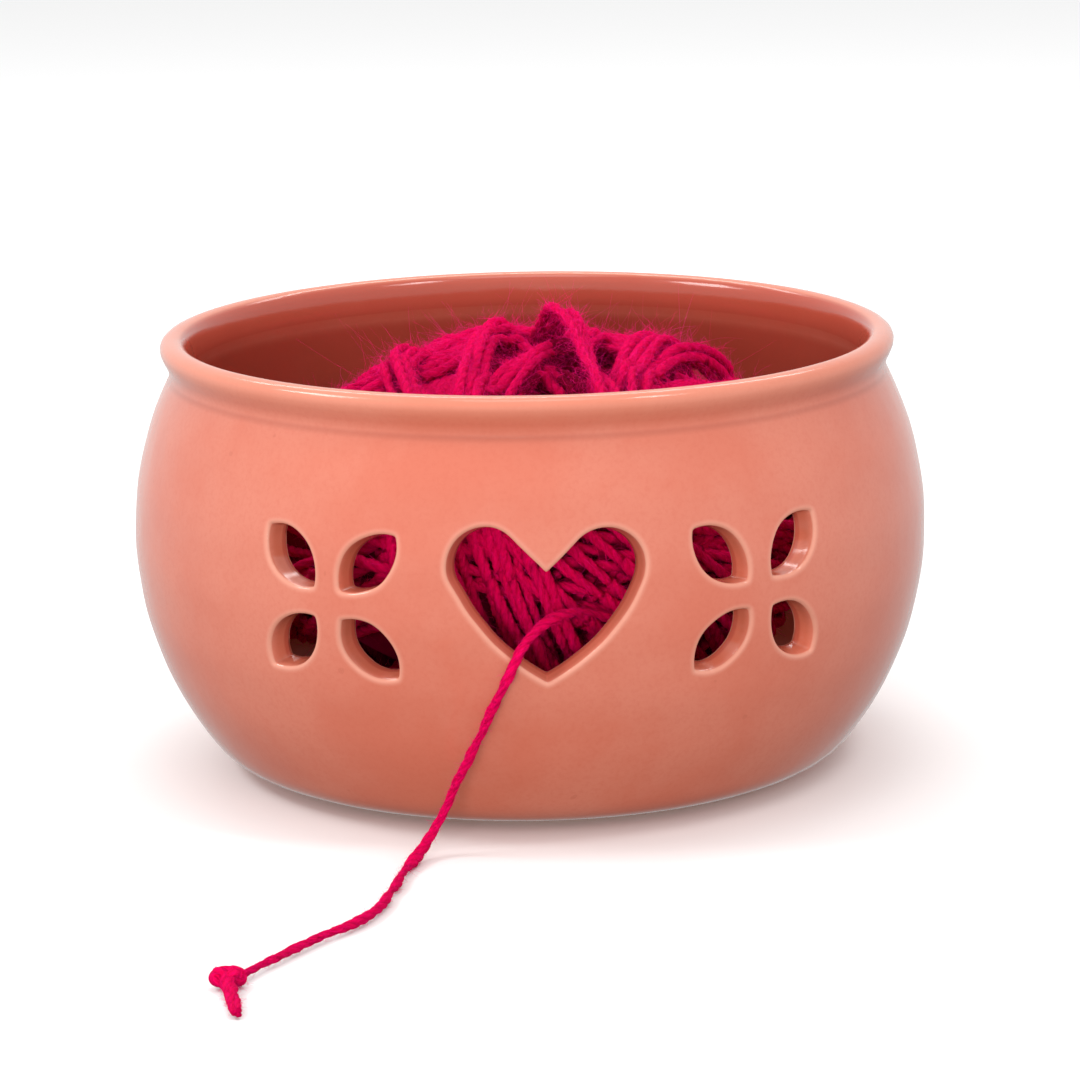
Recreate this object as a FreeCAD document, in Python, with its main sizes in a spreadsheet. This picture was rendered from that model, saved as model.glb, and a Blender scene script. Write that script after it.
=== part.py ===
"""A glazed stoneware yarn bowl holding a ball of yarn, whose working strand feeds out through the heart.

Millimetres, +Z up. The origin is the middle of the foot's resting plane, and the heart faces -Y.
"""

import FreeCAD, Part
import math
import os

import Sketcher

Vector = FreeCAD.Vector

SIZES = {
    # outside of the bowl: one large belly arc, a tight turn down to the foot and a rolled rim
    "bowl_radius": 90.0,
    "belly_arc": 77.0,
    "belly_height": 53.8,
    "turn_arc": 15.0,
    "foot_inner_radius": 51.5,
    "foot_outer_radius": 59.7,
    "glaze_line_radius": 60.6,
    "foot_height": 1.2,
    "recess_radius": 50.0,
    "recess_height": 2.6,
    # rolled rim
    "neck_height": 89.2,
    "crease_arc": 3.0,
    "lip_start_radius": 81.3,
    "lip_start_height": 91.5,
    "rim_radius": 83.2,
    "rim_side_height": 95.6,
    "rim_side_arc": 9.0,
    "rim_crown_radius": 80.4,
    "rim_height": 98.2,
    "rim_crown_arc": 2.8,
    "ridge_radius": 78.6,
    "ridge_height": 97.9,
    "throat_radius": 77.1,
    "throat_height": 96.2,
    # inside of the bowl
    "wall": 6.0,
    "inner_neck_radius": 76.7,
    "inner_neck_height": 91.0,
    "inner_turn_arc": 18.0,
    "floor_height": 8.0,
    # heart, drawn at the belly's radius; heights are counted from the belly's height
    "heart_bearing": 2.3,
    "heart_cusp": 8.5,
    "heart_tip": 16.2,
    "lobe_out": 13.2,
    "lobe_up": 9.8,
    "lobe_arc": 8.5,
    "heart_side_arc": 54.0,
    # blossoms, four leaf-shaped petals each, one either side of the heart
    "blossom_bearing": 30.8,
    "petal_inner": 4.5,
    "petal_outer": 22.5,
    "petal_half_width": 5.2,
    "cut_outside": 100.0,
    "cut_inside": 72.0,
    # ball of yarn: a flattened ball, crown and base on one large arc, sides on a small one
    "ball_radius": 64.0,
    "ball_side_arc": 36.0,
    "ball_bottom": 8.4,
    "ball_top": 96.0,
    # strand and its end knot
    "strand_diameter": 2.5,
    "knot_length": 7.6,
    "knot_width": 5.6,
    "knot_thickness": 4.4,
    "strand_gap": 0.3,
}
PETALS = 4
FIRST_PETAL_TURN = 45.0
LEG_SHARE = 0.45
VERTICAL_AXIS, HORIZONTAL_AXIS = -2, -1
CENTRE = 3

# The strand's corners: up to the parting, where the lead lifts away with the ball, and on over the heart's
# lower left edge, down the front and along the table to the knot.
LEAD_ROUTE = [
    (17.8, -62.3, 45.2),
    (15.2, -67.4, 46.8),
]
PARTING = (12.2, -71.9, 46.8)
STRAND_ROUTE = [
    (8.6, -77.4, 46.8),
    (4.2, -84.0, 47.9),
    (-0.2, -91.0, 46.4),
    (-3.2, -95.2, 40.6),
    (-5.8, -95.0, 32.8),
    (-9.4, -92.4, 24.4),
    (-13.6, -89.8, 16.6),
    (-17.2, -88.8, 9.8),
    (-20.0, -90.4, 4.3),
    (-22.6, -95.4, 1.3),
    (-25.4, -102.8, 1.3),
    (-28.8, -112.6, 1.3),
    (-30.4, -123.4, 1.3),
    (-34.4, -132.8, 1.3),
    (-41.0, -141.4, 1.3),
    (-46.8, -151.0, 1.3),
    (-52.8, -160.4, 1.3),
    (-58.2, -169.4, 1.3),
]
TAIL_ROUTE = [
    (-58.6, -173.0, 1.9),
    (-57.8, -178.4, 1.5),
    (-57.2, -184.2, 1.3),
    (-55.8, -190.0, 1.3),
]
KNOT_CENTRE = (-58.8, -171.0, 2.2)


def fill_sheet(doc):
    """The driving dimensions, one named cell each."""
    sheet = doc.addObject("Spreadsheet::Sheet", "Sizes")
    for row, (name, value) in enumerate(SIZES.items(), start=1):
        sheet.set(f"A{row}", name)
        sheet.set(f"B{row}", str(value))
        sheet.setAlias(f"B{row}", name)
    doc.recompute()
    return sheet


def size(name):
    """A driving dimension, read back from the document's sheet."""
    return float(FreeCAD.ActiveDocument.Sizes.get(name))


def flat(r, z):
    return Vector(r, z, 0)


def circles_meet(centre_a, radius_a, centre_b, radius_b, side):
    """Where two circles cross, on the given side (+1 left, -1 right) of the line from a to b."""
    line = centre_b - centre_a
    apart = line.Length
    along = (radius_a**2 - radius_b**2 + apart**2) / (2 * apart)
    across = math.sqrt(radius_a**2 - along**2)
    line.normalize()
    return centre_a + line * along + Vector(-line.y, line.x, 0) * across * side


def arc_between(start, end, radius, centre_side):
    """An anticlockwise arc over the line from start to end, its centre left (+1) or right (-1) of it."""
    chord = end - start
    half = chord.Length / 2
    chord.normalize()
    normal = Vector(-chord.y, chord.x, 0) * centre_side
    centre = start + chord * half + normal * math.sqrt(radius**2 - half**2)
    middle = centre - normal * radius
    return Part.Arc(start, middle, end) if centre_side > 0 else Part.Arc(end, middle, start)


class Outline:
    """A closed sketch outline, drawn segment by segment, each size bound to a cell of the sheet."""

    def __init__(self, sketch):
        self.sketch = sketch

    def draw(self, curve, start):
        """Adds a curve: (its number, which of its ends is at start, which is the other end)."""
        index = self.sketch.addGeometry(curve, False)
        drawn = self.sketch.Geometry[index]
        first = 1 if (drawn.StartPoint - start).Length < (drawn.EndPoint - start).Length else 2
        return index, first, 3 - first

    def bind(self, constraint, expression):
        index = self.sketch.addConstraint(constraint)
        self.sketch.setExpression(f"Constraints[{index}]", expression)

    def place(self, index, end, position, across, up):
        """Holds a segment's end at named distances from the sketch's origin; "axis" keeps it there."""
        for name, kind, value, axis in (
            (across, "DistanceX", position.x, VERTICAL_AXIS),
            (up, "DistanceY", position.y, HORIZONTAL_AXIS),
        ):
            if name is None:
                continue
            if name == "axis":
                self.sketch.addConstraint(Sketcher.Constraint("PointOnObject", index, end, axis))
            else:
                self.bind(Sketcher.Constraint(kind, index, end, value), name)


def new_body(doc, name):
    body = doc.addObject("PartDesign::Body", name)
    body.Label = name
    return body


def origin_feature(body, role):
    return next(f for f in body.Origin.OriginFeatures if f.Role == role)


def sketch_on(body, name, role="XZ_Plane", offset=None):
    sketch = body.newObject("Sketcher::SketchObject", name)
    sketch.AttachmentSupport = [(origin_feature(body, role), "")]
    sketch.MapMode = "FlatFace"
    if offset is not None:
        sketch.AttachmentOffset = offset
    return sketch


def draw_closed(sketch, corners):
    """Draws a closed outline of corners (point, across, up, leg, smooth); a leg runs to the next corner.

    A leg is None for a straight line or (radius, centre side, radius expression) for an arc.
    A smooth corner is one where the two legs that meet are tangent.
    """
    outline = Outline(sketch)
    drawn = []
    for number, (start, _, _, leg, _) in enumerate(corners):
        end = corners[(number + 1) % len(corners)][0]
        curve = Part.LineSegment(start, end) if leg is None else arc_between(start, end, leg[0], leg[1])
        drawn.append(outline.draw(curve, start))
    for number, (start, across, up, leg, smooth) in enumerate(corners):
        index, first, _ = drawn[number]
        before, _, last = drawn[number - 1]
        kind = "Tangent" if smooth else "Coincident"
        sketch.addConstraint(Sketcher.Constraint(kind, before, last, index, first))
        outline.place(index, first, start, across, up)
        if leg is not None and leg[2]:
            outline.bind(Sketcher.Constraint("Radius", index, leg[0]), leg[2])
    return outline


def tangent_inside(point, big_centre, big_radius, small_radius, side):
    """The small circle through point that touches a big one from inside: (centre, touching point)."""
    centre = circles_meet(big_centre, big_radius - small_radius, point, small_radius, side)
    outward = centre - big_centre
    outward.normalize()
    return centre, big_centre + outward * big_radius


def draw_bowl_profile(sketch):
    """Half the bowl's section, from under the foot up the outside, over the rim and down the inside."""
    belly_centre = flat(size("bowl_radius") - size("belly_arc"), size("belly_height"))
    glaze_line = flat(size("glaze_line_radius"), size("foot_height"))
    _, turn_end = tangent_inside(glaze_line, belly_centre, size("belly_arc"), size("turn_arc"), 1)
    neck_rise = size("neck_height") - size("belly_height")
    neck = flat(belly_centre.x + math.sqrt(size("belly_arc") ** 2 - neck_rise**2), size("neck_height"))
    inner_arc = size("belly_arc") - size("wall")
    inner_turn = size("inner_turn_arc")
    turn_drop = size("belly_height") - size("floor_height") - inner_turn
    floor_edge = flat(
        belly_centre.x + math.sqrt((inner_arc - inner_turn) ** 2 - turn_drop**2), size("floor_height")
    )
    inward = flat(floor_edge.x, size("floor_height") + inner_turn) - belly_centre
    inward.normalize()
    inner_turn_end = belly_centre + inward * inner_arc
    inner_belly = flat(size("bowl_radius") - size("wall"), size("belly_height"))
    inner_neck = flat(size("inner_neck_radius"), size("inner_neck_height"))
    narrowing = inner_belly.x - inner_neck.x
    rise = inner_neck.y - inner_belly.y
    upper_arc = (narrowing**2 + rise**2) / (2 * narrowing)

    corners = [
        (flat(0, size("recess_height")), "axis", "Sizes.recess_height", None, False),
        (
            flat(size("recess_radius"), size("recess_height")),
            "Sizes.recess_radius",
            "Sizes.recess_height",
            None,
            False,
        ),
        (flat(size("foot_inner_radius"), 0), "Sizes.foot_inner_radius", "axis", None, False),
        (flat(size("foot_outer_radius"), 0), "Sizes.foot_outer_radius", "axis", None, False),
        (
            glaze_line,
            "Sizes.glaze_line_radius",
            "Sizes.foot_height",
            (size("turn_arc"), 1, "Sizes.turn_arc"),
            False,
        ),
        (turn_end, None, None, (size("belly_arc"), 1, "Sizes.belly_arc"), True),
        (neck, None, "Sizes.neck_height", (size("crease_arc"), -1, "Sizes.crease_arc"), False),
        (
            flat(size("lip_start_radius"), size("lip_start_height")),
            "Sizes.lip_start_radius",
            "Sizes.lip_start_height",
            (size("rim_side_arc"), 1, "Sizes.rim_side_arc"),
            False,
        ),
        (
            flat(size("rim_radius"), size("rim_side_height")),
            "Sizes.rim_radius",
            "Sizes.rim_side_height",
            (size("rim_crown_arc"), 1, "Sizes.rim_crown_arc"),
            False,
        ),
        (
            flat(size("rim_crown_radius"), size("rim_height")),
            "Sizes.rim_crown_radius",
            "Sizes.rim_height",
            None,
            False,
        ),
        (
            flat(size("ridge_radius"), size("ridge_height")),
            "Sizes.ridge_radius",
            "Sizes.ridge_height",
            None,
            False,
        ),
        (
            flat(size("throat_radius"), size("throat_height")),
            "Sizes.throat_radius",
            "Sizes.throat_height",
            None,
            False,
        ),
        (inner_neck, "Sizes.inner_neck_radius", "Sizes.inner_neck_height", (upper_arc, -1, ""), False),
        (inner_belly, None, "Sizes.belly_height", (inner_arc, -1, "Sizes.belly_arc - Sizes.wall"), True),
        (inner_turn_end, None, None, (inner_turn, -1, "Sizes.inner_turn_arc"), True),
        (floor_edge, None, "Sizes.floor_height", None, True),
        (flat(0, size("floor_height")), "axis", "Sizes.floor_height", None, False),
    ]
    outline = draw_closed(sketch, corners)
    belly, inner_belly_leg = 5, 13
    outline.place(belly, CENTRE, belly_centre, "Sizes.bowl_radius - Sizes.belly_arc", "Sizes.belly_height")
    sketch.addConstraint(Sketcher.Constraint("Coincident", inner_belly_leg, CENTRE, belly, CENTRE))


def draw_heart(sketch, scale, name):
    """The heart, symmetric about the sketch's upright axis: two lobes and two long arcs to the tip."""
    cusp = flat(0, size("heart_cusp") * scale)
    tip = flat(0, -size("heart_tip") * scale)
    lobe = size("lobe_arc") * scale
    side = size("heart_side_arc") * scale
    centre = flat(size("lobe_out") * scale, size("lobe_up") * scale)
    to_cusp = cusp - centre
    reach = math.acos(lobe / to_cusp.Length)
    bearing = math.atan2(to_cusp.y, to_cusp.x) - reach
    lobe_start = centre + flat(math.cos(bearing), math.sin(bearing)) * lobe
    side_centre = circles_meet(centre, side - lobe, tip, side, -1)
    outward = centre - side_centre
    outward.normalize()
    lobe_end = side_centre + outward * side
    ratio = f" * {name} / Sizes.bowl_radius"

    def mirrored(point):
        return flat(-point.x, point.y)

    side_leg = (side, -1, "Sizes.heart_side_arc" + ratio)
    lobe_leg = (lobe, -1, "Sizes.lobe_arc" + ratio)
    corners = [
        (cusp, "axis", "Sizes.heart_cusp" + ratio, None, False),
        (lobe_start, None, None, lobe_leg, True),
        (lobe_end, None, None, side_leg, True),
        (tip, "axis", "-Sizes.heart_tip" + ratio, side_leg, False),
        (mirrored(lobe_end), None, None, lobe_leg, True),
        (mirrored(lobe_start), None, None, None, True),
    ]
    outline = draw_closed(sketch, corners)
    for index, middle, out in ((1, centre, "Sizes.lobe_out"), (4, mirrored(centre), "-Sizes.lobe_out")):
        outline.place(index, CENTRE, middle, out + ratio, "Sizes.lobe_up" + ratio)


def draw_petal(sketch, scale, name):
    """One leaf-shaped petal: two arcs that meet in a point at each end, along the sketch's upright axis."""
    inner = flat(0, size("petal_inner") * scale)
    outer = flat(0, size("petal_outer") * scale)
    half = size("petal_half_width") * scale
    chord = outer.y - inner.y
    arc = (chord**2 / 4 + half**2) / (2 * half)
    ratio = f" * {name} / Sizes.bowl_radius"
    long = "(Sizes.petal_outer - Sizes.petal_inner)"
    radius = f"({long}^2 / 4 + Sizes.petal_half_width^2) / (2 * Sizes.petal_half_width)" + ratio
    corners = [
        (inner, "axis", "Sizes.petal_inner" + ratio, (arc, 1, radius), False),
        (outer, "axis", "Sizes.petal_outer" + ratio, (arc, 1, radius), False),
    ]
    draw_closed(sketch, corners)


def facing(bearing, distance, turn=0.0):
    """Where a sketch stands in front of the belly's centre, facing out at a bearing right of -Y."""
    upright = FreeCAD.Rotation(Vector(1, 0, 0), 90)
    about_z = FreeCAD.Rotation(Vector(0, 0, 1), bearing)
    spin = FreeCAD.Rotation(Vector(0, 0, 1), turn)
    outward = about_z.multVec(Vector(0, -1, 0))
    centre = Vector(0, 0, size("belly_height"))
    return FreeCAD.Placement(centre + outward * distance, about_z * upright * spin)


def cut_through(body, name, bearing, draw, turn=0.0):
    """Cuts an outline through the wall square to it: every side face points at the middle of the belly."""
    sections = []
    for place in ("cut_outside", "cut_inside"):
        sketch = sketch_on(body, f"{name}_{place}", "XY_Plane", facing(bearing, size(place), turn))
        draw(sketch, size(place) / size("bowl_radius"), "Sizes." + place)
        sections.append(sketch)
    loft = body.newObject("PartDesign::SubtractiveLoft", name)
    loft.Profile = sections[0]
    loft.Sections = [sections[1]]
    loft.Ruled = True
    return loft, sections[0]


def make_bowl(doc):
    """The fired bowl: a turned shell with the heart and the two blossoms cut through its wall."""
    body = new_body(doc, "bowl")
    profile = sketch_on(body, "bowl_profile")
    draw_bowl_profile(profile)
    shell = body.newObject("PartDesign::Revolution", "turned_shell")
    shell.Profile = profile
    shell.ReferenceAxis = (profile, ["V_Axis"])
    shell.Angle = 360
    cut_through(body, "heart", size("heart_bearing"), draw_heart)
    for side, way in (("left", -1), ("right", 1)):
        bearing = size("heart_bearing") + way * size("blossom_bearing")
        name = f"{side}_petal"
        petal, sketch = cut_through(body, name, bearing, draw_petal, FIRST_PETAL_TURN)
        doc.recompute()
        blossom = body.newObject("PartDesign::PolarPattern", f"{side}_blossom")
        blossom.Originals = [petal]
        blossom.Axis = (sketch, ["N_Axis"])
        blossom.Angle = 360
        blossom.Occurrences = PETALS
        body.Tip = blossom
        doc.recompute()
    return body


def make_ball(doc):
    """The wound ball's outer shape, round about Z so that it can turn."""
    body = new_body(doc, "yarn_ball")
    profile = sketch_on(body, "ball_profile")
    side_arc = size("ball_side_arc")
    side_out = size("ball_radius") - side_arc
    middle = (size("ball_bottom") + size("ball_top")) / 2
    half_height = (size("ball_top") - size("ball_bottom")) / 2
    crown_arc = (half_height**2 - side_arc**2 + side_out**2) / (2 * (half_height - side_arc))
    drop = crown_arc - half_height
    lean = flat(side_out, drop)
    lean.normalize()
    top_join = flat(lean.x, lean.y) * crown_arc + flat(0, middle - drop)
    bottom_join = flat(top_join.x, 2 * middle - top_join.y)
    corners = [
        (flat(0, size("ball_bottom")), "axis", "Sizes.ball_bottom", (crown_arc, 1, ""), False),
        (bottom_join, None, None, (side_arc, 1, "Sizes.ball_side_arc"), True),
        (top_join, None, None, (crown_arc, 1, ""), True),
        (flat(0, size("ball_top")), "axis", "Sizes.ball_top", None, False),
    ]
    outline = draw_closed(profile, corners)
    outline.place(
        1,
        CENTRE,
        flat(side_out, middle),
        "Sizes.ball_radius - Sizes.ball_side_arc",
        "(Sizes.ball_bottom + Sizes.ball_top) / 2",
    )
    for crown in (0, 2):
        outline.place(crown, CENTRE, flat(0, 0), "axis", None)
    ball = body.newObject("PartDesign::Revolution", "wound_ball")
    ball.Profile = profile
    ball.ReferenceAxis = (profile, ["V_Axis"])
    ball.Angle = 360
    return body


def cord_path(corners):
    """Straight runs joined by the largest tangent arcs that they allow: (wire, tightest radius)."""
    points = [Vector(*c) for c in corners]
    edges, radii, here = [], [], points[0]
    for before, corner, after in zip(points, points[1:], points[2:]):
        back, ahead = before - corner, after - corner
        leg = LEG_SHARE * min(back.Length, ahead.Length)
        back.normalize()
        ahead.normalize()
        half_turn = (math.pi - back.getAngle(ahead)) / 2
        radius = leg / math.tan(half_turn)
        start, end = corner + back * leg, corner + ahead * leg
        bisector = back + ahead
        bisector.normalize()
        middle = corner + bisector * radius * (1 / math.cos(half_turn) - 1)
        edges.append(Part.LineSegment(here, start).toShape())
        edges.append(Part.Arc(start, middle, end).toShape())
        radii.append(radius)
        here = end
    edges.append(Part.LineSegment(here, points[-1]).toShape())
    return Part.Wire(edges), min(radii, default=math.inf)


def step_on(start, towards, distance):
    """The point a little way on from start."""
    step = Vector(*towards) - Vector(*start)
    step.normalize()
    return Vector(*start) + step * distance


def make_tube(doc, name, corners):
    """A strand of yarn along its route, as a plain round tube."""
    radius = size("strand_diameter") / 2
    path, tightest = cord_path(corners)
    start = path.Edges[0]
    section = Part.Wire([Part.Circle(start.Vertexes[0].Point, start.tangentAt(0), radius).toShape()])
    tube = doc.addObject("Part::Feature", name)
    tube.Label = name
    tube.Shape = path.makePipeShell([section], True, False)
    expected = math.pi * radius**2 * path.Length
    lowest = tube.Shape.optimalBoundingBox(True, False).ZMin
    print(f"{name}: length {path.Length:.1f}, tightest radius {tightest:.1f}", end=", ")
    print(f"volume {tube.Shape.Volume:.1f} of {expected:.1f}, lowest {lowest:.2f}")
    return tube


def make_knot(doc):
    """The end knot's outer shape."""
    knot = doc.addObject("Part::Ellipsoid", "end_knot")
    knot.Label = "end_knot"
    knot.Angle1, knot.Angle2, knot.Angle3 = -90, 90, 360
    knot.setExpression("Radius1", "Sizes.knot_thickness / 2")
    knot.setExpression("Radius2", "Sizes.knot_length / 2")
    knot.setExpression("Radius3", "Sizes.knot_width / 2")
    knot.Placement = FreeCAD.Placement(Vector(*KNOT_CENTRE), FreeCAD.Rotation())
    return knot


def check(doc, parts):
    """Stops if any object failed, or any part is not one or more valid closed solids."""
    for item in doc.Objects:
        if "Invalid" in item.State or "Error" in item.State:
            raise RuntimeError(f"{item.Name} did not compute: {item.State}")
    for item in parts:
        if item.Shape.isNull() or not item.Shape.isValid() or not item.Shape.Solids:
            raise RuntimeError(f"{item.Label} has no valid solid")


def check_cuts(body):
    """Each cut must take clay away."""
    volumes = [(f.Name, f.Shape.Volume) for f in body.Group if f.isDerivedFrom("PartDesign::Feature")]
    for (_, before), (name, after) in zip(volumes, volumes[1:]):
        print(f"{name}: {before - after:.0f} cubic mm cut away")
        if after > before - 1:
            raise RuntimeError(f"{name} cut nothing")


def main():
    doc = FreeCAD.newDocument("yarn_bowl")
    fill_sheet(doc)
    bowl = make_bowl(doc)
    ball = make_ball(doc)
    lead = make_tube(doc, "strand_lead", [*LEAD_ROUTE, PARTING])
    parted = step_on(PARTING, STRAND_ROUTE[0], size("strand_gap"))
    strand = make_tube(doc, "working_strand", [parted, *STRAND_ROUTE])
    knot = make_knot(doc)
    tail = make_tube(doc, "strand_tail", TAIL_ROUTE)
    doc.recompute()
    parts = [bowl, ball, lead, strand, knot, tail]
    check(doc, parts)
    check_cuts(bowl)
    os.makedirs("parts", exist_ok=True)
    for part in parts:
        part.Shape.exportStep(f"parts/{part.Label}.step")


main()
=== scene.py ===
"""The looks of the yarn bowl: its glazed clay, its wound yarn, the free strand, the light and the camera.

Blender works in metres in the frame of the design: +Z up, the heart towards -Y. Lengths here are in
millimetres and are multiplied by MM where a mesh is made, apart from the routes, which are in metres.
"""

import math

import bpy
import numpy as np
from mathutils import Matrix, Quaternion, Vector, geometry, kdtree


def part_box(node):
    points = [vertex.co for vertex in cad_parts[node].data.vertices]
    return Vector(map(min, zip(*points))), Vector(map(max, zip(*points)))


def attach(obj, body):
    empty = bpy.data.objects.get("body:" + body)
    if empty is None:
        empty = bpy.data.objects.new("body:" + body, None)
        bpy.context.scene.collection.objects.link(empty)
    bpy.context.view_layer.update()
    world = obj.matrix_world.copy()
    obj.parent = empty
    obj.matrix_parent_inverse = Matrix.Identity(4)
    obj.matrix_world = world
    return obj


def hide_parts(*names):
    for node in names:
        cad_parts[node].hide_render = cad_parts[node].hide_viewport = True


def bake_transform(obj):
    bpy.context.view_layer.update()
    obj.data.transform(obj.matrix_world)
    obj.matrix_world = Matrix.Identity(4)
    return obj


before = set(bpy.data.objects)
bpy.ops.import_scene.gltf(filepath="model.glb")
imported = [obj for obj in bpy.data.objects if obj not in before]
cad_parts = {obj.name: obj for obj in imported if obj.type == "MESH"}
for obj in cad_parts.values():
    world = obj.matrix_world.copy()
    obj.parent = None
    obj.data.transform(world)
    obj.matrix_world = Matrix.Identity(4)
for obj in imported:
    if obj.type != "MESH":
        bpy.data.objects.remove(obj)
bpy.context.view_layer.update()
MM = 0.001
chance = np.random.default_rng(7)

# The bowl, in millimetres; its outer sizes come from the frame.
BOWL_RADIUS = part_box("bowl")[1].y / MM
RIM_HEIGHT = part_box("bowl")[1].z / MM
BELLY_ARC = 77.0
BELLY_HEIGHT = 53.8
TURN_ARC = 15.0
NECK_HEIGHT = 89.2
WALL = 6.0
INNER_NECK = (76.7, 91.0)
INNER_TURN_ARC = 18.0
FLOOR_HEIGHT = 8.0
GLAZE_LINE = (60.6, 1.2)
FOOT = [(0, 2.6), (50.0, 2.6), (51.5, 0.0), (59.7, 0.0)]
# The rolled rim, from the crease under it, up its outside and over to the throat.
LIP = [(81.05, 90.3), (81.5, 91.9), (82.5, 93.8), (83.2, 95.5), (83.0, 96.9), (82.0, 97.8)]
CROWN = [(80.4, RIM_HEIGHT), (78.7, 97.95), (77.5, 97.0), (77.0, 95.6), (76.75, 93.4)]
SECTION_STEP = 0.1

# The cut-outs, drawn flat at the belly's radius; heights are counted from the belly's height.
HEART_BEARING = 2.3
HEART_CUSP, HEART_TIP = np.array([0, 8.5]), np.array([0, -16.2])
LOBE_CENTRE, LOBE_ARC, HEART_SIDE_ARC = np.array([13.2, 9.8]), 8.5, 54.0
HEART_TILT = 0.022
BLOSSOM_BEARING = 30.8
PETAL_TURNS = (45, 135, 225, 315)
PETAL_INNER, PETAL_OUTER, PETAL_HALF_WIDTH = 4.5, 22.5, 5.2
EDGE_ROUND = 0.8
CUT_TAPER = (0.9, 0.3)

# The ball and the strand.
BALL_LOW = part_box("yarn_ball")[0].z / MM
BALL_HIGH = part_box("yarn_ball")[1].z / MM
BALL_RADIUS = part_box("yarn_ball")[1].y / MM
BALL_MIDDLE = (BALL_LOW + BALL_HIGH) / 2
CORE_SIDE_ARC = 28.0
CORE_TOP_DROP, CORE_FOOT_DROP = 8.0, 2.0  # how much further the core's ends are sunk than its sides
STRAND_RADIUS = 1.25
PLIES = 3
PLY_OFFSET = 0.30
PLY_PITCH = 11.0
HAIR_CEILING = 110.5  # no loose fibre reaches higher
SUNK_DARK = 3.0  # the depth at which the painted shade on the yarn is darkest

# The strand's route in metres, from the ball to the knot, and the tail's, past it.
ROUTE = [
    (0.0190, -0.0644, 0.0452),
    (0.0152, -0.0686, 0.0478),
    (0.0112, -0.0732, 0.0502),
    (0.0058, -0.0790, 0.0506),
    (0.0014, -0.0834, 0.0488),
    (-0.0022, -0.0888, 0.0458),
    (-0.0050, -0.0916, 0.0402),
    (-0.0082, -0.0905, 0.0330),
    (-0.0120, -0.0880, 0.0245),
    (-0.0158, -0.0858, 0.0166),
    (-0.0190, -0.0846, 0.0096),
    (-0.0220, -0.0856, 0.0040),
    (-0.0246, -0.0900, 0.0013),
    (-0.0266, -0.0990, 0.0013),
    (-0.0288, -0.1112, 0.0013),
    (-0.0306, -0.1236, 0.0013),
    (-0.0340, -0.1330, 0.0013),
    (-0.0404, -0.1412, 0.0013),
    (-0.0468, -0.1510, 0.0013),
    (-0.0528, -0.1604, 0.0013),
    (-0.0582, -0.1694, 0.0013),
]
TAIL = [
    (-0.0590, -0.1716, 0.0022),
    (-0.0586, -0.1750, 0.0019),
    (-0.0576, -0.1796, 0.0015),
    (-0.0570, -0.1846, 0.0013),
    (-0.0560, -0.1896, 0.0013),
]
KNOT_CENTRE = (-58.8, -171.0, 2.2)
KNOT_LOOP = (2.6, 1.5, 0.95)  # half the loop's length, width and height
KNOT_WRAP = [
    (2.8, 0.9, 0.0),
    (1.4, 1.0, 0.9),
    (-0.6, 0.9, 1.0),
    (-2.3, 0.5, 0.7),
    (-3.2, -0.4, 0.1),
    (-2.4, -1.1, -0.7),
    (-0.6, -1.3, -0.8),
]
ROUND_SIDES = 18
UP = (0, 0, 1)


# ---------------------------------------------------------------- camera


def make_camera():
    """A long lens a metre off, a little above the rim, pitched down and rolled slightly."""
    data = bpy.data.cameras.new("camera")
    data.sensor_width = 36
    data.lens = 145.67
    data.shift_x = -0.0120
    data.shift_y = -0.0069
    data.clip_start = 0.05
    camera = bpy.data.objects.new("camera", data)
    camera.location = (0.0051, -0.9756, 0.2702)
    pitch, roll = math.radians(12.68), math.radians(-0.88)
    camera.rotation_mode = "QUATERNION"
    camera.rotation_quaternion = Quaternion((1, 0, 0), math.pi / 2 - pitch) @ Quaternion((0, 0, 1), roll)
    bpy.context.scene.collection.objects.link(camera)
    bpy.context.scene.camera = camera


# ---------------------------------------------------------------- meshes


def mesh_object(name, points, faces, material):
    """A smooth mesh from points in millimetres and a list of face arrays, each (count, corners)."""
    mesh = bpy.data.meshes.new(name)
    points = np.asarray(points, float) * MM
    corners = np.concatenate([f.ravel() for f in faces]).astype(np.int32)
    sizes = np.concatenate([np.full(len(f), f.shape[1]) for f in faces])
    starts = np.concatenate([[0], np.cumsum(sizes)[:-1]]).astype(np.int32)
    mesh.vertices.add(len(points))
    mesh.vertices.foreach_set("co", points.ravel().astype(np.float32))
    mesh.loops.add(len(corners))
    mesh.loops.foreach_set("vertex_index", corners)
    mesh.polygons.add(len(sizes))
    mesh.polygons.foreach_set("loop_start", starts)
    mesh.polygons.foreach_set("use_smooth", np.full(len(sizes), True))
    mesh.update(calc_edges=True)
    mesh.materials.append(material)
    obj = bpy.data.objects.new(name, mesh)
    bpy.context.scene.collection.objects.link(obj)
    return obj


def point_value(obj, name, values):
    """Stores one number per point, for the material."""
    attribute = obj.data.attributes.new(name, "FLOAT", "POINT")
    attribute.data.foreach_set("value", np.asarray(values, np.float32))


def unit(vectors):
    return vectors / np.maximum(np.linalg.norm(vectors, axis=-1, keepdims=True), 1e-12)


def along(points):
    """Distance along a line of points."""
    return np.concatenate([[0], np.cumsum(np.linalg.norm(np.diff(points, axis=0), axis=1))])


def bridge(before, after):
    """Quads from closed rings of point numbers to the rings beside them."""
    return np.stack([before, np.roll(before, -1, -1), np.roll(after, -1, -1), after], -1).reshape(-1, 4)


def fan(pole, ring, flip=False):
    """Triangles from a pole to a closed ring of point numbers."""
    sides = (ring, np.roll(ring, -1)) if flip else (np.roll(ring, -1), ring)
    return np.stack([np.full(len(ring), pole), *sides], 1)


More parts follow.
